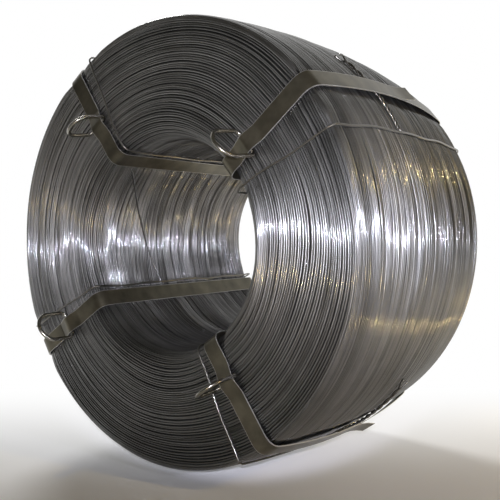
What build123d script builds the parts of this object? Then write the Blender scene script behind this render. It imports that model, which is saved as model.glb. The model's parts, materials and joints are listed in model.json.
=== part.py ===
from build123d import *
import os
from math import cos, radians, sin

# A coil of steel wire rod lying on its round side, in millimetres, with +Z up.
# The coil's axis is Y and its middle is the origin. The near end, which carries the rings, is at -Y.
# Sections are drawn in a plane through the axis: first coordinate out from the axis, second along it.

# The wound coil: its outside is a shallow barrel, and its ends are flat with rounded edges
coil_width = 500.0
near_end_radius = 400.0
belly_radius = 415.0
far_end_radius = 400.0
bore_radius = 191.0
near_outer_corner = 10.0
far_outer_corner = 28.0
bore_corner = 44.0
wire_diameter = 4.0
turn_relief_share = 0.28

# The turns lie in bunches, with a shallow gap between one bunch and the next
bunch_pitch = 70.0
bunch_gap = 22.0
bunch_relief = 3.0

# Steel straps, each once round the coil's section
strap_width = 32.0
strap_thickness = 1.0
strap_crease = 22.0
strap_lap_end = 62.0
strap_angles = (39.5, 125.0, 213.5, 305.5)

# Bent wire rings that the straps pass through, standing out of the near end
ring_wire = 7.0
ring_width = 54.0
ring_height = 70.0
ring_bend = 12.0
ring_place_shares = (0.15, 0.24, 0.39, 0.26)
ring_leans = (-8.0, -9.0, 0.0, 4.0)
hump_reach = 28.0
hump_bend = 6.0

# Tie wires beside the straps, each closed by a twisted tail that is tucked under its strap
tie_wire = 3.5
tie_bend = 20.0
tie_angles = (27.0, 117.5, 206.0, 297.0)
tail_place_shares = (0.38, 0.45, 0.5, 0.6)
tail_sweep = 26.0
strands_in_tail = 2

# Room between pieces that lie against each other, and how far a cut runs past the coil
clearance = 0.3
overrun = 20.0

# Worked out from the sizes above
corner_names = ("top_right", "top_left", "bottom_left", "bottom_right")
half_width = coil_width / 2
flat_start = bore_radius + bore_corner
flat_depth = near_end_radius - near_outer_corner - flat_start
ring_places = [flat_start + share * flat_depth for share in ring_place_shares]
turn_relief = turn_relief_share * wire_diameter
tie_radius = tie_wire / 2
ring_radius = ring_wire / 2
tail_radius = strands_in_tail * tie_radius

os.makedirs("parts", exist_ok=True)

# Planes through the coil's axis, one for each strap and one for each tie wire
strap_planes = [Plane.XY.rotated((0, -angle, 0)) for angle in strap_angles]
tie_planes = [Plane.XY.rotated((0, -angle, 0)) for angle in tie_angles]

# Smooth section of the coil, through the crowns of the turns
with BuildSketch() as crown_section:
    with BuildLine():
        belly = ThreePointArc((near_end_radius, -half_width), (belly_radius, 0), (far_end_radius, half_width))
        far_end = Line(belly @ 1, (bore_radius, half_width))
        bore_wall = Line(far_end @ 1, (bore_radius, -half_width))
        Line(bore_wall @ 1, belly @ 0)
    make_face()
    bore_corners = crown_section.vertices().group_by(Axis.X)[0]
    fillet(bore_corners, radius=bore_corner)
    fillet(crown_section.vertices().sort_by_distance(belly @ 0)[0], radius=near_outer_corner)
    fillet(crown_section.vertices().sort_by_distance(belly @ 1)[0], radius=far_outer_corner)

section_middle = crown_section.face().center()
plain_edges = crown_section.edges().sort_by(SortBy.LENGTH)[-2:]
plain_corners = [plain @ share for plain in plain_edges for share in (0, 1)]
end_edges = crown_section.edges().sort_by(SortBy.LENGTH)[:-2]

# Where the tie wires' tails lie on the barrel, and how far the straps rise to pass over them
tail_seats = [belly @ share for share in tail_place_shares]
tail_rise = 2 * tail_radius + 2 * clearance


def below(edge, share, depth):
    """A point that lies depth inside the section, below a place on its edge."""
    inward = (edge % share).rotate(Axis.Z, 90)
    if inward.dot(section_middle - edge @ share) < 0:
        inward = -inward
    return edge @ share + inward * depth


# The wound coil: one turned solid whose ends and rounded edges show each turn as a ridge.
# Its barrel and the wall of its bore are plain but for the gaps between bunches of turns.
with BuildPart() as wire_coil:
    with BuildSketch():
        with BuildLine():
            for edge in plain_edges:
                bunches = max(2, round(edge.length / bunch_pitch))
                half_gap = bunch_gap / edge.length / 2
                gap_shares = [bunch / bunches for bunch in range(1, bunches)]
                starts = [0] + [share + half_gap for share in gap_shares]
                stops = [share - half_gap for share in gap_shares] + [1]
                for start, stop in zip(starts, stops):
                    add(edge.trim(start, stop))
                for share in gap_shares:
                    lowest = below(edge, share, bunch_relief)
                    ThreePointArc(edge @ (share - half_gap), lowest, edge @ (share + half_gap))
            for edge in end_edges:
                turns = max(2, round(edge.length / wire_diameter))
                grooves = [below(edge, turn / turns, turn_relief) for turn in range(turns + 1)]
                for turn in range(turns):
                    middle = edge @ ((turn + 1 / 2) / turns)
                    ThreePointArc(grooves[turn], middle, grooves[turn + 1])
                for share, groove in ((0, grooves[0]), (1, grooves[-1])):
                    if edge @ share in plain_corners:
                        Line(groove, edge @ share)
        make_face()
    revolve(axis=Axis.Y)

    # Under each strap and tie the bore's turns are pressed back, so that the bore stays clear
    for plane in strap_planes:
        with BuildSketch(plane.offset(-strap_width / 2 - clearance)):
            with Locations((bore_radius, 0)):
                Rectangle(2 * (strap_thickness + clearance), coil_width + 2 * overrun)
        extrude(amount=strap_width + 2 * clearance, mode=Mode.SUBTRACT)
    for plane in tie_planes:
        with BuildSketch(plane.offset(-tie_radius - clearance)):
            with Locations((bore_radius, 0)):
                Rectangle(2 * (tie_wire + clearance), coil_width + 2 * overrun)
        extrude(amount=tie_wire + 2 * clearance, mode=Mode.SUBTRACT)
wire_coil.part.label = "wire_coil"
export_step(wire_coil.part, "parts/wire_coil.step")

# Straps: a closed band round the section, humped over the ring's bar, with a second layer as far as its end
for corner_name, plane, ring_place, tail_seat in zip(corner_names, strap_planes, ring_places, tail_seats):
    near_face = -half_width - clearance
    far_face = half_width + clearance
    seat_radius = bore_radius + strap_thickness
    hump_top = near_face - ring_wire - clearance
    with BuildSketch() as under_face:
        with BuildLine():
            outer_run = ThreePointArc(
                (near_end_radius + clearance, near_face),
                (tail_seat.X + tail_rise, tail_seat.Y),
                (far_end_radius + clearance, far_face),
            )
            Polyline(
                outer_run @ 1,
                (seat_radius, far_face),
                (seat_radius, near_face),
                (ring_place - hump_reach, near_face),
                (ring_place - ring_radius, hump_top),
                (ring_place + ring_radius, hump_top),
                (ring_place + hump_reach, near_face),
                outer_run @ 0,
            )
        make_face()
        fillet(under_face.vertices().group_by(Axis.X)[0], radius=strap_crease)
        fillet(under_face.vertices().sort_by_distance(outer_run @ 0)[0], radius=near_outer_corner + clearance)
        fillet(under_face.vertices().sort_by_distance(outer_run @ 1)[0], radius=far_outer_corner + clearance)
        for reach in (-hump_reach, hump_reach):
            foot = under_face.vertices().sort_by_distance((ring_place + reach, near_face))[0]
            fillet(foot, radius=hump_bend)
        for reach in (-ring_radius, ring_radius):
            shoulder = under_face.vertices().sort_by_distance((ring_place + reach, hump_top))[0]
            fillet(shoulder, radius=hump_bend)
    with BuildPart() as strap:
        with BuildSketch(plane):
            add(under_face.sketch)
            offset(amount=2 * strap_thickness)
            lap_start = ring_place + hump_reach
            lap_length = strap_lap_end + half_width + overrun
            with Locations((lap_start, strap_lap_end)):
                Rectangle(belly_radius, lap_length, align=(Align.MIN, Align.MAX), mode=Mode.INTERSECT)
            with BuildSketch(mode=Mode.PRIVATE) as band:
                add(under_face.sketch)
                offset(amount=strap_thickness)
            add(band.sketch)
            add(under_face.sketch, mode=Mode.SUBTRACT)
        extrude(amount=strap_width / 2, both=True)
    strap.part.label = "strap_" + corner_name
    export_step(strap.part, "parts/strap_" + corner_name + ".step")

# Rings: round wire bent to a closed loop, with its straight bar between the coil and the strap
for corner_name, plane, ring_place, lean in zip(corner_names, strap_planes, ring_places, ring_leans):
    bar_middle = plane.from_local_coords((ring_place, -half_width - clearance - ring_radius, 0))
    across = plane.x_dir * cos(radians(lean)) + Vector(0, 1, 0) * sin(radians(lean))
    ring_plane = Plane(bar_middle, x_dir=plane.z_dir, z_dir=across)
    with BuildSketch() as loop:
        with BuildLine():
            bar = Line((-ring_width / 2, 0), (ring_width / 2, 0))
            shoulder = ring_height - ring_width / 2
            right_leg = Line(bar @ 1, (ring_width / 2, shoulder))
            bow = ThreePointArc(right_leg @ 1, (0, ring_height), (-ring_width / 2, shoulder))
            Line(bow @ 1, bar @ 0)
        make_face()
        fillet(loop.vertices().group_by(Axis.Y)[0], radius=ring_bend)
    path = ring_plane * loop.face().outer_wire()
    with BuildPart() as ring:
        with BuildSketch(Plane(path @ 0, z_dir=path % 0)):
            Circle(ring_radius)
        sweep(path=path)
    ring.part.label = "ring_" + corner_name
    export_step(ring.part, "parts/ring_" + corner_name + ".step")

# Tie wires: a closed loop of round wire round the section, and the twisted tail round the outside
for corner_name, plane, angle, tail_seat in zip(corner_names, tie_planes, tie_angles, tail_seats):
    stand_off = clearance + tie_radius
    with BuildSketch() as centre_line:
        with BuildLine():
            outer_run = ThreePointArc(
                (near_end_radius + stand_off, -half_width - stand_off),
                (belly_radius + stand_off, 0),
                (far_end_radius + stand_off, half_width + stand_off),
            )
            Polyline(
                outer_run @ 1,
                (bore_radius + tie_radius, half_width + stand_off),
                (bore_radius + tie_radius, -half_width - stand_off),
                outer_run @ 0,
            )
        make_face()
        fillet(centre_line.vertices().group_by(Axis.X)[0], radius=tie_bend)
        near_corner = centre_line.vertices().sort_by_distance(outer_run @ 0)[0]
        fillet(near_corner, radius=near_outer_corner + stand_off)
        far_corner = centre_line.vertices().sort_by_distance(outer_run @ 1)[0]
        fillet(far_corner, radius=far_outer_corner + stand_off)
    path = plane * centre_line.face().outer_wire()
    tail_plane = Plane((0, tail_seat.Y, 0), x_dir=(1, 0, 0), z_dir=(0, -1, 0))
    with BuildPart() as tie:
        with BuildSketch(Plane(path @ 0, z_dir=path % 0)):
            Circle(tie_radius)
        sweep(path=path)
        with BuildLine(tail_plane) as tail_path:
            CenterArc((0, 0), tail_seat.X + clearance + tail_radius, angle, tail_sweep)
        with BuildSketch(Plane(tail_path.line @ 0, z_dir=tail_path.line % 0)):
            Circle(tail_radius)
        sweep(path=tail_path.line)
    tie.part.label = "tie_" + corner_name
    export_step(tie.part, "parts/tie_" + corner_name + ".step")
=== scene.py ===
import json
import math

import bpy
import numpy as np
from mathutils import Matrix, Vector


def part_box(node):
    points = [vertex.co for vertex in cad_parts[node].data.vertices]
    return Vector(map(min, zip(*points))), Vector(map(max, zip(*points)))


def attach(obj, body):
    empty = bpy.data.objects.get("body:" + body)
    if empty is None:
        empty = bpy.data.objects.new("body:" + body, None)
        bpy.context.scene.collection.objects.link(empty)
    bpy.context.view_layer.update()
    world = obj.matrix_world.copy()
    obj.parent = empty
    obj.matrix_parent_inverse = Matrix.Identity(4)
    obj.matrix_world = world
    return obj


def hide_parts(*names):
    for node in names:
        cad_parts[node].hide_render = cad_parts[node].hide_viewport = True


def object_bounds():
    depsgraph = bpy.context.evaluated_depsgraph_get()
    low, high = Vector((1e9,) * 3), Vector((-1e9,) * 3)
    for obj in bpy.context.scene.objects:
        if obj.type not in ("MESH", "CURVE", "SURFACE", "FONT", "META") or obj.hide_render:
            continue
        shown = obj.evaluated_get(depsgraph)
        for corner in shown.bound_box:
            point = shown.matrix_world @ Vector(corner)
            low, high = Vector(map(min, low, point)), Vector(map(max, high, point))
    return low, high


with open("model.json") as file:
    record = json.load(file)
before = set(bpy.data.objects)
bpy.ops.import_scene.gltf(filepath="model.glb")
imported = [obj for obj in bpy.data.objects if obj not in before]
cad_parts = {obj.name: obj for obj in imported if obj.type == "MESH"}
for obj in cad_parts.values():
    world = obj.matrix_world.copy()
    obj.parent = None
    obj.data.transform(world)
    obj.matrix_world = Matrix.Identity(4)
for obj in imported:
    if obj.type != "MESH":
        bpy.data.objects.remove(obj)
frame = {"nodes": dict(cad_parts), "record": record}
cad_low, cad_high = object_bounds()
bpy.ops.object.select_all(action="DESELECT")

# The view: a camera on the ringed end's side, level with the bore and turned to the right of its axis.
# From there the near end, the left wall of the bore and the barrel all show.
view_turn = math.radians(37.685)
view_distance = 1.4491
view_height = 0.0284
aim_turn = math.radians(-0.384)
aim_drop = math.radians(1.761)
sensor_width = 36.0
focal_share = 703.52 / 500.0

camera_place = Vector((math.sin(view_turn), -math.cos(view_turn), 0)) * view_distance
camera_place.z = view_height
camera_data = bpy.data.cameras.new("camera")
camera_data.sensor_width = sensor_width
camera_data.lens = focal_share * sensor_width
camera = bpy.data.objects.new("camera", camera_data)
camera.location = camera_place
camera.rotation_euler = (math.pi / 2 - aim_drop, 0, view_turn + aim_turn)
bpy.context.scene.collection.objects.link(camera)
bpy.context.scene.camera = camera
bpy.context.scene.view_settings.view_transform = "Standard"

# The stage: a pale floor that the coil lies on, running into a white backdrop far behind it.
# By the coil and on the lens's side the floor takes shadows, and behind the coil it goes over to white.
floor_size = 100.0
floor_colour = (0.90, 0.90, 0.90, 1)
shadow_reach = -0.35
white_reach = 0.50
backdrop_distance = 14.0
backdrop_size = 60.0

bpy.ops.mesh.primitive_plane_add(size=floor_size, location=(0, 0, cad_low.z))
bpy.ops.object.transform_apply(location=True, rotation=True, scale=True)
floor = bpy.context.object
floor.name = "floor"
away = Vector((-math.sin(view_turn), math.cos(view_turn), 0))
bpy.ops.mesh.primitive_plane_add(
    size=backdrop_size, location=away * backdrop_distance, rotation=(math.pi / 2, 0, view_turn)
)
bpy.ops.object.transform_apply(location=True, rotation=True, scale=True)
backdrop = bpy.context.object
backdrop.name = "backdrop"

pale_stage = bpy.data.materials.new("pale_stage")
pale_stage.use_nodes = True
nodes, links = pale_stage.node_tree.nodes, pale_stage.node_tree.links
nodes.clear()

# White is for rays from the lens, from gloss and through glass, and only past the reach of the shadow
path = nodes.new("ShaderNodeLightPath")
seen = path.outputs["Is Camera Ray"]
for ray in ("Is Glossy Ray", "Is Transmission Ray"):
    either = nodes.new("ShaderNodeMath")
    either.operation = "MAXIMUM"
    links.new(seen, either.inputs[0])
    links.new(path.outputs[ray], either.inputs[1])
    seen = either.outputs[0]
place = nodes.new("ShaderNodeTexCoord")
reach = nodes.new("ShaderNodeVectorMath")
reach.operation = "DOT_PRODUCT"
reach.inputs[1].default_value = away
links.new(place.outputs["Object"], reach.inputs[0])
fade = nodes.new("ShaderNodeMapRange")
fade.interpolation_type = "SMOOTHSTEP"
fade.inputs["From Min"].default_value = shadow_reach
fade.inputs["From Max"].default_value = white_reach
links.new(reach.outputs["Value"], fade.inputs["Value"])
share = nodes.new("ShaderNodeMath")
share.operation = "MULTIPLY"
links.new(seen, share.inputs[0])
links.new(fade.outputs["Result"], share.inputs[1])
matt = nodes.new("ShaderNodeBsdfDiffuse")
matt.inputs["Color"].default_value = floor_colour
white = nodes.new("ShaderNodeEmission")
white.inputs["Color"].default_value = (1, 1, 1, 1)
white.inputs["Strength"].default_value = 1.0
mix = nodes.new("ShaderNodeMixShader")
links.new(share.outputs[0], mix.inputs["Fac"])
links.new(matt.outputs[0], mix.inputs[1])
links.new(white.outputs[0], mix.inputs[2])
out = nodes.new("ShaderNodeOutputMaterial")
links.new(mix.outputs[0], out.inputs["Surface"])
floor.data.materials.append(pale_stage)
backdrop.data.materials.append(pale_stage)

# The light: a dim grey room with a broad white lamp at the back on the left.
# A small lamp just over the lens, a soft one round it and a weak one at the side give the band at mid-height.
# Small warm lamps beside, behind and below the coil give the lines of yellow glints.
room_colour = (0.086, 0.081, 0.066, 1)
spot_cone = math.radians(43)
spot_blend = 0.15
cold_white = (0.82, 0.83, 1.0)
warm_white = (1.0, 0.74, 0.30)
plain_white = (1.0, 1.0, 1.0)
over_lens = camera_place + Vector((0, 0, 0.045))
mid_height = (0, 0, 0.05)

room = bpy.data.worlds.new("room")
room.use_nodes = True
room.node_tree.nodes["Background"].inputs["Color"].default_value = room_colour
room.node_tree.nodes["Background"].inputs["Strength"].default_value = 1.0
bpy.context.scene.world = room


def lamp(name, kind, place, aim, size, power, colour):
    """A round lamp at place that points at aim, either an area or a spot. Power is in watts."""
    data = bpy.data.lights.new(name, kind)
    if kind == "AREA":
        data.shape = "DISK"
        data.size = size
    else:
        data.shadow_soft_size = size / 2
        data.spot_size = spot_cone
        data.spot_blend = spot_blend
    data.energy = power
    data.color = colour
    made = bpy.data.objects.new(name, data)
    made.location = place
    made.rotation_euler = (Vector(aim) - Vector(place)).to_track_quat("-Z", "Y").to_euler()
    bpy.context.scene.collection.objects.link(made)


lamp("lens_lamp", "SPOT", over_lens, mid_height, 0.02, 84.0, cold_white)
lamp("soft_lamp", "SPOT", over_lens, mid_height, 1.0, 18.0, cold_white)
lamp("side_lamp", "AREA", (1.417, -0.309, 0.06), (0.2, 0, 0), 0.02, 4.5, cold_white)
lamp("warm_lamp_behind", "AREA", (2.4, 0.0, 1.15), (0.3, 0, 0), 0.05, 11.0, warm_white)
lamp("warm_lamp_right", "AREA", (0.76, -1.70, -0.39), (0, 0, 0), 0.03, 3.0, warm_white)
lamp("warm_lamp_far", "AREA", (0.52, 0.71, -0.26), (-0.19, 0, 0.04), 0.02, 0.7, warm_white)
lamp("warm_lamp_low", "AREA", (0.05, 0.42, -0.36), (-0.15, 0, 0.11), 0.02, 0.25, warm_white)
lamp("warm_lamp_front", "AREA", (0.75, 0.22, -0.40), (0.35, 0, -0.2), 0.02, 0.26, warm_white)
lamp("left_lamp", "AREA", (-1.8, 0.9, 1.5), (0, 0, -0.3), 1.0, 44.0, plain_white)

# The wound wire: one length of bright drawn steel wire, laid turn beside turn in layers.
# Its outermost turns are modelled one by one, over a heart coloured far darker than the wire, a painted shade
# that shows in the gaps between them.
# No two turns lie alike: they wander, sink and bunch, and the straps and ties press them in.
wire_radius = 0.0020
wire_sides = 6
turn_pitch = 0.0040
bunch_pitch = 0.070
bunch_gap = 0.022
bunch_relief = 0.0005
near_radius = 0.400
far_radius = 0.400
near_corner = 0.010
far_corner = 0.028
_, coil_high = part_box("wire_coil")
half_width = coil_high.y
belly_radius = coil_high.x
bore_size = frame["record"]["mounts"][0]["dims"]
bore_radius = bore_size["r_mm"] / 1000
bore_corner = half_width - bore_size["length_mm"] / 2000
corner_names = ("top_right", "top_left", "bottom_left", "bottom_right")
strap_angles = [math.radians(a) for a in (39.5, 125.0, 213.5, 305.5)]
tie_angles = [math.radians(a) for a in (27.0, 117.5, 206.0, 297.0)]

# The coil's section, as points of (distance from the axis, place along it) round its outline
arc_points = 24
straight_points = 240
outline_points = 1200


def barrel_radius(along):
    """The barrel's radius at a place along the coil's axis."""
    ends = np.where(np.asarray(along) < 0, near_radius, far_radius)
    return belly_radius - (belly_radius - ends) * (np.asarray(along) / half_width) ** 2


def rounded(centre, radius, start, stop):
    """Points on an arc, with angles in degrees."""
    turn = np.radians(np.linspace(start, stop, arc_points))
    return np.column_stack((centre[0] + radius * np.cos(turn), centre[1] + radius * np.sin(turn)))


def bunch_dip(along, low, high):
    """How deep the gaps between bunches of turns are, at places on a stretch from low to high."""
    bunches = round((high - low) / bunch_pitch)
    middles = low + (high - low) * np.arange(1, bunches) / bunches
    off = np.abs(along[:, None] - middles).min(axis=1) / (bunch_gap / 2)
    return bunch_relief * np.clip(1 - off ** 2, 0, None)


near_edge = -half_width + near_corner
far_edge = half_width - far_corner
wall_edge = half_width - bore_corner
barrel_along = np.linspace(near_edge, far_edge, straight_points)
wall_along = np.linspace(wall_edge, -wall_edge, straight_points)[1:-1]
stretches = {
    "near_end": np.vstack((
        [(bore_radius + bore_corner, -half_width)],
        rounded((barrel_radius(near_edge) - near_corner, near_edge), near_corner, -90, 0),
    )),
    "barrel": np.column_stack((
        barrel_radius(barrel_along) - bunch_dip(barrel_along, near_edge, far_edge), barrel_along,
    )),
    "far_end": np.vstack((
        rounded((barrel_radius(far_edge) - far_corner, far_edge), far_corner, 0, 90),
        [(bore_radius + bore_corner, half_width)],
    )),
    "bore": np.vstack((
        rounded((bore_radius + bore_corner, wall_edge), bore_corner, 90, 180),
        np.column_stack((bore_radius + bunch_dip(wall_along, -wall_edge, wall_edge), wall_along)),
        rounded((bore_radius + bore_corner, -wall_edge), bore_corner, 180, 270),
    )),
}
outline = np.vstack(list(stretches.values()))
steps = np.linalg.norm(np.diff(outline, axis=0, append=outline[:1]), axis=1)
outline_run = np.concatenate(([0.0], np.cumsum(steps)))
outline_closed = np.vstack((outline, outline[:1]))
outline_length = outline_run[-1]
even_run = np.linspace(0, outline_length, outline_points, endpoint=False)
even_outline = np.column_stack([np.interp(even_run, outline_run, outline_closed[:, k]) for k in (0, 1)])
tangent = np.roll(even_outline, -1, axis=0) - np.roll(even_outline, 1, axis=0)
tangent /= np.linalg.norm(tangent, axis=1)[:, None]
outward = np.column_stack((tangent[:, 1], -tangent[:, 0]))
rim_run = {name: outline_run[sum(len(s) for s in list(stretches.values())[:k])]
           for k, name in enumerate(stretches)}


def on_outline(run):
    """Distance from the axis, place along it, and the outward direction, at a run round the section."""
    run = np.mod(run, outline_length)
    return [np.interp(run, even_run, column, period=outline_length)
            for column in (*even_outline.T, *outward.T)]


def wander(rng, count, reach, most_waves, fewest, most):
    """Waves that make a smooth uneven field.
    Each has its size, its waves round the axis, its waves round the section and its phase."""
    waves = rng.integers(1, most_waves + 1, count)
    size = reach * rng.uniform(0.5, 1.0, count) / np.sqrt(count) * (2.0 / (1.0 + waves / 4.0))
    return list(zip(size, waves, rng.integers(fewest, most + 1, count), rng.uniform(0, 2 * np.pi, count)))


def field(waves, run, turn):
    """The value of such a field at a run round the section and a turn round the axis."""
    share = 2 * np.pi * run / outline_length
    return sum(a * np.sin(k * turn + n * share + phase) for a, k, n, phase in waves)


def pressed(turn, distance, angles, half_band, spread):
    """1 under a strap or tie at one of the angles, falling to 0 over the spread beside it."""
    press = np.zeros(np.broadcast(turn, distance).shape)
    for angle in angles:
        off = np.abs(np.angle(np.exp(1j * (turn - angle)))) * distance
        edge = np.clip((half_band + spread - off) / spread, 0, 1)
        press = np.maximum(press, edge * edge * (3 - 2 * edge))
    return press


def joined_mesh(name, rows, closed, mark, values):
    """Tubes through rows of rings of points, joined in one mesh, with values for the points under a mark."""
    tubes, count, sides = rows.shape[:3]
    last = count if closed else count - 1
    t, p, s = np.meshgrid(np.arange(tubes), np.arange(last), np.arange(sides), indexing="ij")
    here, there = (t * count + p) * sides, (t * count + (p + 1) % count) * sides
    faces = np.stack((here + s, here + (s + 1) % sides, there + (s + 1) % sides, there + s), axis=-1)
    faces = faces.reshape(-1, 4).tolist()
    if not closed:
        rings = np.arange(tubes * count * sides).reshape(tubes, count, sides)
        faces += rings[:, 0, ::-1].tolist() + rings[:, -1].tolist()
    mesh = bpy.data.meshes.new(name)
    mesh.from_pydata(rows.reshape(-1, 3).tolist(), [], faces)
    mesh.polygons.foreach_set("use_smooth", np.ones(len(mesh.polygons), bool))
    noted = mesh.attributes.new(mark, "FLOAT", "POINT")
    noted.data.foreach_set("value", np.broadcast_to(values, rows.shape[:3]).astype(np.float32).ravel())
    made = bpy.data.objects.new(name, mesh)
    bpy.context.scene.collection.objects.link(made)
    return made


def wire_mesh(name, centres, radius, sides, tones, closed=True, across=(0.0, 1.0, 0.0)):
    """Round wires along rows of points, each wire with its own tone. They never run along across."""
    if closed:
        run = np.roll(centres, -1, axis=1) - np.roll(centres, 1, axis=1)
    else:
        run = np.gradient(centres, axis=1)
    run /= np.linalg.norm(run, axis=2)[..., None]
    side = np.cross(run, np.array(across))
    side /= np.linalg.norm(side, axis=2)[..., None]
    up = np.cross(side, run)
    turn = np.linspace(0, 2 * np.pi, sides, endpoint=False)[:, None]
    rows = centres[:, :, None] + radius * (side[:, :, None] * np.cos(turn) + up[:, :, None] * np.sin(turn))
    return joined_mesh(name, rows, closed, "turn_tone", np.asarray(tones)[:, None, None])


# How the turns lie: the gaps between them as shares of the pitch, and their depths and reaches in metres.
# Where a strap or tie bends over the rim it pulls the turns in, and in the bore it presses them deeper.
least_pitch_share = 0.97
gap_shape, gap_scale = 1.2, 0.03
wide_gap_chance = 0.20
wide_gap_shares = (0.10, 0.32)
turn_depth = 0.0003
highest_turn = 0.0004
bore_reach = 0.020
rim_reach = 0.035
strap_pull_half, strap_pull_spread, strap_pull = 0.017, 0.040, 0.0040
tie_pull_half, tie_pull_spread, tie_pull = 0.003, 0.030, 0.0020
strap_press_half, strap_press_spread, strap_press, strap_bore_press = 0.0165, 0.016, 0.0012, 0.0010
tie_press_half, tie_press_spread, tie_press, tie_bore_press = 0.0025, 0.024, 0.0004, 0.0020
strap_offsets = (-0.026, -0.020, -0.016, 0.016, 0.020, 0.026)
tie_offsets = (-0.010, -0.005, -0.002, 0.002, 0.005, 0.010)
lay_rng = np.random.default_rng(7)
shared_sink = wander(lay_rng, count=14, reach=0.0006, most_waves=7, fewest=3, most=16)
shared_drift = wander(lay_rng, count=14, reach=0.0036, most_waves=7, fewest=2, most=7)


def laid_turns(name, start, stop, count, seed, unevenness):
    """The turns that show on one stretch of the section, from one run to another."""
    rng = np.random.default_rng(seed)
    runs = [start + turn_pitch / 2]
    while runs[-1] < stop - turn_pitch:
        gap = rng.gamma(gap_shape, gap_scale)
        if rng.random() < wide_gap_chance:
            gap += rng.uniform(*wide_gap_shares)
        runs.append(runs[-1] + turn_pitch * (least_pitch_share + gap))
    runs = np.interp(runs, (runs[0], runs[-1]), (runs[0], stop - turn_pitch / 2))[:, None]
    beside = [np.array(angles)[:, None] + np.array(offsets) / on_outline((start + stop) / 2)[0]
              for angles, offsets in ((strap_angles, strap_offsets), (tie_angles, tie_offsets))]
    turn = np.concatenate((np.linspace(0, 2 * np.pi, count, endpoint=False), *(b.ravel() for b in beside)))
    turn = np.sort(np.mod(turn, 2 * np.pi))[None, :]
    own = [wander(rng, count=6, reach=0.0007, most_waves=12, fewest=1, most=2) for _ in runs]
    drift = field(shared_drift, runs, turn) + np.vstack([field(w, 0.0, turn) for w in own])
    own = [wander(rng, count=6, reach=0.0004, most_waves=8, fewest=1, most=2) for _ in runs]
    sink = field(shared_sink, runs, turn) + np.vstack([field(w, 0.0, turn) for w in own])
    sink = sink - np.abs(rng.normal(0, unevenness, runs.shape))
    distance, along, out_r, out_y = on_outline(runs + drift)
    in_bore = np.clip((bore_radius + bore_reach - distance) / bore_reach, 0, 1)
    at_rim = np.clip(1 - np.hypot(distance - near_radius, along + half_width) / rim_reach, 0, 1)
    pull = np.maximum(
        pressed(turn, distance, strap_angles, strap_pull_half, strap_pull_spread) * strap_pull,
        pressed(turn, distance, tie_angles, tie_pull_half, tie_pull_spread) * tie_pull,
    ) * at_rim
    under_strap = pressed(turn, distance, strap_angles, strap_press_half, strap_press_spread)
    under_tie = pressed(turn, distance, tie_angles, tie_press_half, tie_press_spread)
    press = np.maximum(
        under_strap * (strap_press + strap_bore_press * in_bore),
        under_tie * (tie_press + tie_bore_press * in_bore),
    )
    depth = np.minimum(sink, highest_turn) - pull - press - wire_radius - turn_depth
    distance, along = distance + out_r * depth, along + out_y * depth
    turn = np.broadcast_to(turn, distance.shape)
    centres = np.stack((distance * np.cos(turn), along, distance * np.sin(turn)), axis=-1)
    return wire_mesh(name, centres, wire_radius, wire_sides, rng.random(len(runs)))


# The finish of drawn steel, for the coil's wire, the rings and the ties: each wire has its own shade,
# with dull and rubbed places along it, and its colour is darkened towards the floor as painted shade.
cloud_scale = 24.0
cloud_detail = 4.0
cloud_share = 0.45
darkest_share, lightest_share = 0.15, 0.85
# Painted shade: where the darkening starts, and how dark the colour is at the bottom of the coil
painted_shade_top = 0.0
painted_shade_lowest = 0.50
steel_shade = bpy.data.node_groups.new("drawn_steel_shade", "ShaderNodeTree")
for name, kind in (
    ("Dark", "NodeSocketColor"), ("Light", "NodeSocketColor"),
    ("Rubbed", "NodeSocketFloat"), ("Dull", "NodeSocketFloat"),
):
    steel_shade.interface.new_socket(name, in_out="INPUT", socket_type=kind)
steel_shade.interface.new_socket("Colour", in_out="OUTPUT", socket_type="NodeSocketColor")
steel_shade.interface.new_socket("Roughness", in_out="OUTPUT", socket_type="NodeSocketFloat")
nodes, links = steel_shade.nodes, steel_shade.links
given = nodes.new("NodeGroupInput")
result = nodes.new("NodeGroupOutput")
place = nodes.new("ShaderNodeTexCoord")
tone = nodes.new("ShaderNodeAttribute")
tone.attribute_name = "turn_tone"
cloud = nodes.new("ShaderNodeTexNoise")
cloud.inputs["Scale"].default_value = cloud_scale
cloud.inputs["Detail"].default_value = cloud_detail
links.new(place.outputs["Object"], cloud.inputs["Vector"])
both = nodes.new("ShaderNodeMix")
both.inputs["Factor"].default_value = cloud_share
links.new(tone.outputs["Fac"], both.inputs["A"])
links.new(cloud.outputs["Fac"], both.inputs["B"])
spread = nodes.new("ShaderNodeMapRange")
spread.inputs["From Min"].default_value = darkest_share
spread.inputs["From Max"].default_value = lightest_share
links.new(both.outputs["Result"], spread.inputs["Value"])
shade = nodes.new("ShaderNodeMix")
shade.data_type = "RGBA"
links.new(spread.outputs["Result"], shade.inputs["Factor"])
links.new(given.outputs["Dark"], shade.inputs["A"])
links.new(given.outputs["Light"], shade.inputs["B"])
sides = nodes.new("ShaderNodeSeparateXYZ")
links.new(place.outputs["Object"], sides.inputs[0])
# Painted shade: the colour is scaled from 1 at the axis's height down to half at the bottom of the coil
painted_shade = nodes.new("ShaderNodeMapRange")
painted_shade.inputs["From Min"].default_value = -belly_radius
painted_shade.inputs["From Max"].default_value = painted_shade_top
painted_shade.inputs["To Min"].default_value = painted_shade_lowest
painted_shade.inputs["To Max"].default_value = 1.0
links.new(sides.outputs["Z"], painted_shade.inputs["Value"])
dulled = nodes.new("ShaderNodeVectorMath")
dulled.operation = "SCALE"
links.new(shade.outputs["Result"], dulled.inputs[0])
links.new(painted_shade.outputs["Result"], dulled.inputs["Scale"])
links.new(dulled.outputs["Vector"], result.inputs["Colour"])
rub = nodes.new("ShaderNodeMapRange")
links.new(both.outputs["Result"], rub.inputs["Value"])
links.new(given.outputs["Rubbed"], rub.inputs["To Min"])
links.new(given.outputs["Dull"], rub.inputs["To Max"])
links.new(rub.outputs["Result"], result.inputs["Roughness"])

gleam_roughness = 0.115
gleam_strength = 2.0
rubbed_share, dull_share = 0.88, 1.15


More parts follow.
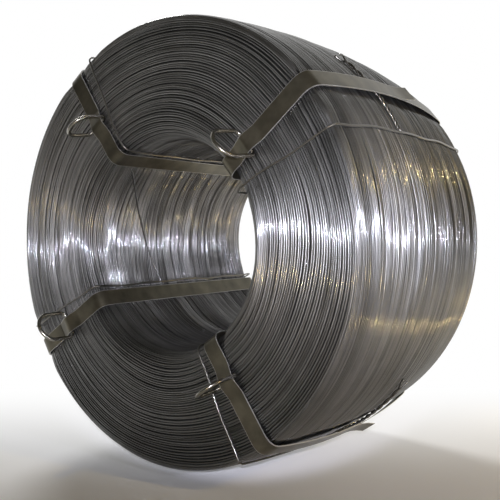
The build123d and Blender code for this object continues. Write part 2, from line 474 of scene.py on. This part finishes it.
def drawn_steel(name, colour, tone_spread, roughness, polish):
    """Drawn steel of a colour and a roughness, with a sharp gleam on top as strong as its polish."""
    material = bpy.data.materials.new(name)
    material.use_nodes = True
    nodes, links = material.node_tree.nodes, material.node_tree.links
    steel = nodes["Principled BSDF"]
    steel.inputs["Metallic"].default_value = 1.0
    steel.inputs["Coat Weight"].default_value = polish
    steel.inputs["Coat Roughness"].default_value = gleam_roughness
    steel.inputs["Coat IOR"].default_value = gleam_strength
    shade = nodes.new("ShaderNodeGroup")
    shade.node_tree = steel_shade
    shade.inputs["Dark"].default_value = (*(c * (1 - tone_spread) for c in colour), 1)
    shade.inputs["Light"].default_value = (*(c * (1 + tone_spread) for c in colour), 1)
    shade.inputs["Rubbed"].default_value = roughness * rubbed_share
    shade.inputs["Dull"].default_value = roughness * dull_share
    links.new(shade.outputs["Colour"], steel.inputs["Base Color"])
    links.new(shade.outputs["Roughness"], steel.inputs["Roughness"])
    return material


# The coil's wire is bent a little up and down along its length, each turn alone and in groups.
# The groups are slacker in the bore. The bends are long, so that each turn has one gleam and not many.
bends_along, bends_across = 7.0, 32.0
bore_slack, wall_slack = 3.0, 1.7
bend_height = 0.0050
seed_scale = 900.0
bright_wire = drawn_steel("bright_wire", (0.152, 0.150, 0.140), 0.50, 0.45, 0.90)
nodes, links = bright_wire.node_tree.nodes, bright_wire.node_tree.links
place = nodes.new("ShaderNodeTexCoord")
tone = nodes.new("ShaderNodeAttribute")
tone.attribute_name = "turn_tone"
own_seed = nodes.new("ShaderNodeMath")
own_seed.operation = "MULTIPLY"
own_seed.inputs[1].default_value = seed_scale
links.new(tone.outputs["Fac"], own_seed.inputs[0])
flat = nodes.new("ShaderNodeVectorMath")
flat.operation = "MULTIPLY"
flat.inputs[1].default_value = (bends_along, 0, bends_along)
links.new(place.outputs["Object"], flat.inputs[0])
alone = nodes.new("ShaderNodeTexNoise")
alone.noise_dimensions = "4D"
alone.inputs["Scale"].default_value = 1.0
alone.inputs["Detail"].default_value = 0.0
links.new(flat.outputs["Vector"], alone.inputs["Vector"])
links.new(own_seed.outputs[0], alone.inputs["W"])
spaced = nodes.new("ShaderNodeVectorMath")
spaced.operation = "MULTIPLY"
spaced.inputs[1].default_value = (bends_along, bends_across, bends_along)
links.new(place.outputs["Object"], spaced.inputs[0])
from_axis = nodes.new("ShaderNodeVectorMath")
from_axis.operation = "LENGTH"
links.new(flat.outputs["Vector"], from_axis.inputs[0])
layer = nodes.new("ShaderNodeMath")
layer.operation = "MULTIPLY"
layer.inputs[1].default_value = bends_across / bends_along
links.new(from_axis.outputs["Value"], layer.inputs[0])
grouped = nodes.new("ShaderNodeTexNoise")
grouped.noise_dimensions = "4D"
grouped.inputs["Scale"].default_value = 1.0
grouped.inputs["Detail"].default_value = 0.0
links.new(spaced.outputs["Vector"], grouped.inputs["Vector"])
links.new(layer.outputs[0], grouped.inputs["W"])
slack = nodes.new("ShaderNodeMapRange")
slack.inputs["From Min"].default_value = bends_across * bore_radius
slack.inputs["From Max"].default_value = bends_across * (bore_radius + bore_corner)
slack.inputs["To Min"].default_value = bore_slack
slack.inputs["To Max"].default_value = wall_slack
links.new(layer.outputs[0], slack.inputs["Value"])
total = nodes.new("ShaderNodeMath")
total.operation = "MULTIPLY_ADD"
links.new(grouped.outputs["Fac"], total.inputs[0])
links.new(slack.outputs["Result"], total.inputs[1])
links.new(alone.outputs["Fac"], total.inputs[2])
bend = nodes.new("ShaderNodeBump")
bend.inputs["Strength"].default_value = 1.0
bend.inputs["Distance"].default_value = bend_height
links.new(total.outputs[0], bend.inputs["Height"])
links.new(bend.outputs["Normal"], nodes["Principled BSDF"].inputs["Normal"])
links.new(bend.outputs["Normal"], nodes["Principled BSDF"].inputs["Coat Normal"])

barrel_middle = (rim_run["barrel"] + rim_run["far_end"]) / 2
bore_middle = (rim_run["bore"] + outline_length) / 2
turn_pieces = [
    laid_turns("near_end_turns", 0.0, rim_run["barrel"], 216, 11, 0.0007),
    laid_turns("near_barrel_turns", rim_run["barrel"], barrel_middle, 168, 12, 0.0003),
    laid_turns("far_barrel_turns", barrel_middle, rim_run["far_end"], 168, 15, 0.0003),
    laid_turns("far_end_turns", rim_run["far_end"], rim_run["bore"], 144, 13, 0.0006),
    laid_turns("far_bore_turns", rim_run["bore"], bore_middle, 128, 14, 0.0006),
    laid_turns("near_bore_turns", bore_middle, outline_length, 128, 16, 0.0006),
]
for piece in turn_pieces:
    piece.data.materials.append(bright_wire)
    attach(piece, "root")
    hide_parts("wire_coil")

# The heart of the winding: the layers of wire below the outermost turns, wound first.
# They show only in the gaps, so they are one plain turned form, coloured near black as painted shade.
heart_inset = 0.0048
bore_inset = 0.0090
heart_stride = 12
heart_steps = 96
heart_merge = 0.0002
heart_depth = np.where(even_outline[:, 0] < bore_radius + bore_corner / 2, bore_inset, heart_inset)
inset = (even_outline - outward * heart_depth[:, None])[::heart_stride]
heart_mesh = bpy.data.meshes.new("coil_heart")
loop = [(k, (k + 1) % len(inset)) for k in range(len(inset))]
heart_mesh.from_pydata([(r, y, 0) for r, y in inset], loop, [])
heart = bpy.data.objects.new("coil_heart", heart_mesh)
bpy.context.scene.collection.objects.link(heart)
bpy.ops.object.select_all(action="DESELECT")
heart.select_set(True)
bpy.context.view_layer.objects.active = heart
bpy.ops.object.mode_set(mode="EDIT")
bpy.ops.mesh.select_all(action="SELECT")
bpy.ops.mesh.spin(steps=heart_steps, angle=2 * math.pi, center=(0, 0, 0), axis=(0, 1, 0))
bpy.ops.mesh.select_all(action="SELECT")
bpy.ops.mesh.remove_doubles(threshold=heart_merge)
bpy.ops.mesh.normals_make_consistent(inside=False)
bpy.ops.object.mode_set(mode="OBJECT")
bpy.ops.object.shade_smooth()
# Painted shade: the heart is the same wire made near black, for the shade down in the gaps between turns
heart_wire_painted_shade = drawn_steel("heart_wire_painted_shade", (0.05, 0.05, 0.047), 0.4, 0.6, 0.0)
heart.data.materials.append(heart_wire_painted_shade)
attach(heart, "root")

# A loose turn of the same wire, which has slipped and crosses the others on the wall of the bore.
# It runs under the straps on its way.
loose_start, loose_stop = 132.0, 252.0
loose_points = 90
loose_far = -0.060
loose_swing = 0.135
loose_curve = 2.6
loose_lift = 0.0005
loose_dip = 0.0040
loose_half_band, loose_spread = 0.018, 0.012
loose_sides = 8
loose_angles = np.radians(np.linspace(loose_start, loose_stop, loose_points))
loose_share = (loose_angles - loose_angles[0]) / (loose_angles[-1] - loose_angles[0])
loose_along = loose_far - loose_swing * (1 - loose_share) ** loose_curve
loose_sink = pressed(loose_angles, bore_radius, strap_angles, loose_half_band, loose_spread)
loose_radius = bore_radius + loose_lift + loose_dip * loose_sink
loose_path = np.column_stack((
    loose_radius * np.cos(loose_angles), loose_along, loose_radius * np.sin(loose_angles),
))
loose_turn = wire_mesh("loose_turn", loose_path[None], wire_radius, loose_sides, [0.0], closed=False)
loose_turn.data.materials.append(bright_wire)
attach(loose_turn, "root")

# Straps: flat bands of dark waxed steel, each once round the coil's section and over its ring's bar.
# A second layer runs from the ring to a free end on the barrel. The edges are pale, as worn bare steel and as
# a painted highlight.
strap_width = 0.032
strap_thickness = 0.001
strap_gap = 0.0003
strap_edge = 0.0010
strap_bend = 0.024
strap_crease = 0.022
strap_smooth = math.radians(35)
hump_reach = 0.028
hump_foot = 0.006
hump_shoulder = 0.003
lap_end = 0.062
lap_curl = 0.060
lap_lifts = (0.008, 0.003, 0.003, 0.012)
ring_wire = 0.007
ring_place_shares = (0.15, 0.24, 0.39, 0.26)
tail_place_shares = (0.38, 0.45, 0.50, 0.60)
tail_rise = 0.0076
bend_points = 9
barrel_points = 15
barrel_reach = half_width - 0.040
flat_start = bore_radius + bore_corner
ring_places = [flat_start + share * (near_radius - near_corner - flat_start) for share in ring_place_shares]
tail_places = [-half_width + share * 2 * half_width for share in tail_place_shares]


def bent(corners):
    """A path through corners, each (distance from the axis, place along it, length of its bend)."""
    places = np.array([corner[:2] for corner in corners])
    path = []
    for k, (*_, bend) in enumerate(corners):
        legs = [places[(k + step) % len(places)] - places[k] for step in (-1, 1)]
        start, stop = [places[k] + leg * bend / np.linalg.norm(leg) for leg in legs]
        for t in np.linspace(0, 1, bend_points if bend else 1):
            path.append((1 - t) ** 2 * start + 2 * t * (1 - t) * places[k] + t ** 2 * stop)
    return np.array(path)


def band_mesh(name, path, angle, closed):
    """A strap along a path in the plane through the axis at an angle, with its edges marked for bare steel
    and a painted highlight.
    """
    if closed:
        run = np.roll(path, -1, axis=0) - np.roll(path, 1, axis=0)
    else:
        run = np.gradient(path, axis=0)
    run /= np.linalg.norm(run, axis=1)[:, None]
    half, deep = strap_width / 2, strap_thickness / 2
    profile = np.array([
        (-half, -deep), (-half, deep), (-half + strap_edge, deep), (half - strap_edge, deep),
        (half, deep), (half, -deep), (half - strap_edge, -deep), (-half + strap_edge, -deep),
    ])
    # The edge faces are marked for the pale colour of worn bare steel, which is also a painted highlight
    edge_highlight = np.array((1, 1, 0, 0, 1, 1, 0, 0))
    distance = path[:, :1] - run[:, 1:] * profile[:, 1]
    along = path[:, 1:] + run[:, :1] * profile[:, 1]
    rows = np.stack((
        distance * math.cos(angle) - profile[:, 0] * math.sin(angle),
        along,
        distance * math.sin(angle) + profile[:, 0] * math.cos(angle),
    ), axis=-1)
    made = joined_mesh(name, rows[None], closed, "edge_wear_highlight", edge_highlight)
    bpy.ops.object.select_all(action="DESELECT")
    made.select_set(True)
    bpy.context.view_layer.objects.active = made
    bpy.ops.object.shade_smooth_by_angle(angle=strap_smooth)
    return made


# Under the wax the strap has faint stains, and along its edges the metal is bare and painted pale as a
# highlight
strap_colour = (0.102, 0.092, 0.063)
bare_edge_highlight = (0.50, 0.49, 0.45)
strap_roughness = 0.36
bare_share = 0.82
stain_scale = 30.0
stain_detail = 5.0
stain_dark_share, stain_light_share = 0.65, 1.35
stain_start, stain_stop = 0.30, 0.72
strap_steel = bpy.data.materials.new("strap_steel")
strap_steel.use_nodes = True
nodes, links = strap_steel.node_tree.nodes, strap_steel.node_tree.links
steel = nodes["Principled BSDF"]
steel.inputs["Metallic"].default_value = bare_share
steel.inputs["Roughness"].default_value = strap_roughness
place = nodes.new("ShaderNodeTexCoord")
stain = nodes.new("ShaderNodeTexNoise")
stain.inputs["Scale"].default_value = stain_scale
stain.inputs["Detail"].default_value = stain_detail
links.new(place.outputs["Object"], stain.inputs["Vector"])
shade = nodes.new("ShaderNodeValToRGB")
shade.color_ramp.elements[0].position = stain_start
shade.color_ramp.elements[1].position = stain_stop
shade.color_ramp.elements[0].color = (*(c * stain_dark_share for c in strap_colour), 1)
shade.color_ramp.elements[1].color = (*(c * stain_light_share for c in strap_colour), 1)
links.new(stain.outputs["Fac"], shade.inputs["Fac"])
# Painted highlight: the marked edges get a pale colour for worn bare steel and for the light caught along
# them
edge_highlight = nodes.new("ShaderNodeAttribute")
edge_highlight.attribute_name = "edge_wear_highlight"
rubbed_highlight = nodes.new("ShaderNodeMix")
rubbed_highlight.data_type = "RGBA"
rubbed_highlight.inputs["B"].default_value = (*bare_edge_highlight, 1)
links.new(edge_highlight.outputs["Fac"], rubbed_highlight.inputs["Factor"])
links.new(shade.outputs["Color"], rubbed_highlight.inputs["A"])
links.new(rubbed_highlight.outputs["Result"], steel.inputs["Base Color"])

strap_plan = zip(corner_names, strap_angles, ring_places, tail_places, lap_lifts)
for corner, angle, ring_place, tail_place, lap_lift in strap_plan:
    bow = np.polyfit(
        (-half_width, tail_place, half_width),
        (near_radius, float(barrel_radius(tail_place)) + tail_rise, far_radius), 2,
    )
    level = strap_gap + strap_thickness / 2
    hump = half_width + level + ring_wire + strap_gap
    band_path = bent([
        (near_radius + level, -half_width - level, strap_bend),
        (ring_place + hump_reach, -half_width - level, hump_foot),
        (ring_place + ring_wire / 2, -hump, hump_shoulder),
        (ring_place - ring_wire / 2, -hump, hump_shoulder),
        (ring_place - hump_reach, -half_width - level, hump_foot),
        (bore_radius + strap_thickness / 2, -half_width - level, strap_crease),
        (bore_radius + strap_thickness / 2, half_width + level, strap_crease),
        (far_radius + level, half_width + level, far_corner),
        *((np.polyval(bow, y) + level, y, 0)
          for y in np.linspace(barrel_reach, -barrel_reach, barrel_points)),
    ])
    level += strap_thickness
    lap_path = bent([
        *((np.polyval(bow, y) + level + lap_lift * max(0, 1 + (y - lap_end) / lap_curl) ** 2, y, 0)
          for y in np.linspace(lap_end, -barrel_reach, barrel_points)),
        (near_radius + level, -half_width - level, strap_bend),
        (ring_place + hump_reach, -half_width - level, 0),
    ])
    for piece in (
        band_mesh("strap_band_" + corner, band_path, angle, True),
        band_mesh("strap_lap_" + corner, lap_path, angle, False),
    ):
        piece.data.materials.append(strap_steel)
        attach(piece, "root")
        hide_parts("strap_" + corner)

# Rings: round wire bent to a closed loop, with a strap over its straight bar to hold it on the near end.
# They keep their solids, in bright wire with a yellowish gleam.
ring_steel = drawn_steel("ring_steel", (0.42, 0.40, 0.34), 0.3, 0.26, 0.3)
for corner in corner_names:
    ring = frame["nodes"]["ring_" + corner]
    ring.data.materials.clear()
    ring.data.materials.append(ring_steel)

# Tie wires: a loop of soft wire beside each strap, closed by a twist of its two ends on the barrel.
# The twist is tight by the loop, passes under the strap and opens out towards its tips.
tie_radius = 0.00175
tie_sides = 8
tie_gap = 0.0003
tie_bend = 0.020
tie_points = 260
tie_sway = 0.0012
slow_sways, quick_sways, sway_shift = 5, 11, 9
tail_points = 140
tail_sweep = math.radians(26.0)
tight_twist = 0.016
loose_twist = 0.060
untwist = 1.5
tip_start_share = 0.8
tip_spread = 0.0045
tie_steel = drawn_steel("tie_steel", (0.19, 0.18, 0.155), 0.25, 0.36, 0.3)
for corner, angle, tail_place in zip(corner_names, tie_angles, tail_places):
    level = tie_gap + tie_radius
    loop = bent([
        (near_radius + level, -half_width - level, near_corner + level),
        (bore_radius + tie_radius, -half_width - level, tie_bend),
        (bore_radius + tie_radius, half_width + level, tie_bend),
        (far_radius + level, half_width + level, far_corner + level),
        *((float(barrel_radius(y)) + level, y, 0)
          for y in np.linspace(barrel_reach, -barrel_reach, barrel_points)),
    ])
    step = np.linalg.norm(np.diff(loop, axis=0, append=loop[:1]), axis=1)
    run = np.concatenate(([0.0], np.cumsum(step)))
    even = np.linspace(0, run[-1], tie_points, endpoint=False)
    distance, along = [np.interp(even, run, np.append(loop[:, k], loop[0, k])) for k in (0, 1)]
    round_share = 2 * np.pi * even / run[-1]
    slow_sway = np.sin(slow_sways * round_share + sway_shift * angle)
    sway = tie_sway * (slow_sway + np.sin(quick_sways * round_share))
    across = np.array((-math.sin(angle), 0.0, math.cos(angle)))
    centres = np.column_stack((distance * math.cos(angle), along, distance * math.sin(angle)))
    centres = centres + sway[:, None] * across
    tie_loop = wire_mesh("tie_loop_" + corner, centres[None], tie_radius, tie_sides, [0.5], across=across)

    share = np.linspace(0, 1, tail_points)
    tail_angles = angle + tail_sweep * share
    tail_distance = float(barrel_radius(tail_place)) + tie_gap + 2 * tie_radius
    stride = tail_sweep * tail_distance / (len(share) - 1)
    twist = np.cumsum(2 * np.pi * stride / (tight_twist + (loose_twist - tight_twist) * share ** untwist))
    opened = np.clip((share - tip_start_share) / (1 - tip_start_share), 0, 1)
    spread = tie_radius + tip_spread * opened ** 2
    strands = []
    for start in (0, np.pi):
        strand_distance = tail_distance + spread * np.cos(twist + start)
        strands.append(np.column_stack((
            strand_distance * np.cos(tail_angles),
            tail_place + spread * np.sin(twist + start),
            strand_distance * np.sin(tail_angles),
        )))
    tie_tail = wire_mesh(
        "tie_tail_" + corner, np.array(strands), tie_radius, tie_sides, [0.4, 0.7], closed=False
    )
    for piece in (tie_loop, tie_tail):
        piece.data.materials.append(tie_steel)
        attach(piece, "root")
        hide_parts("tie_" + corner)
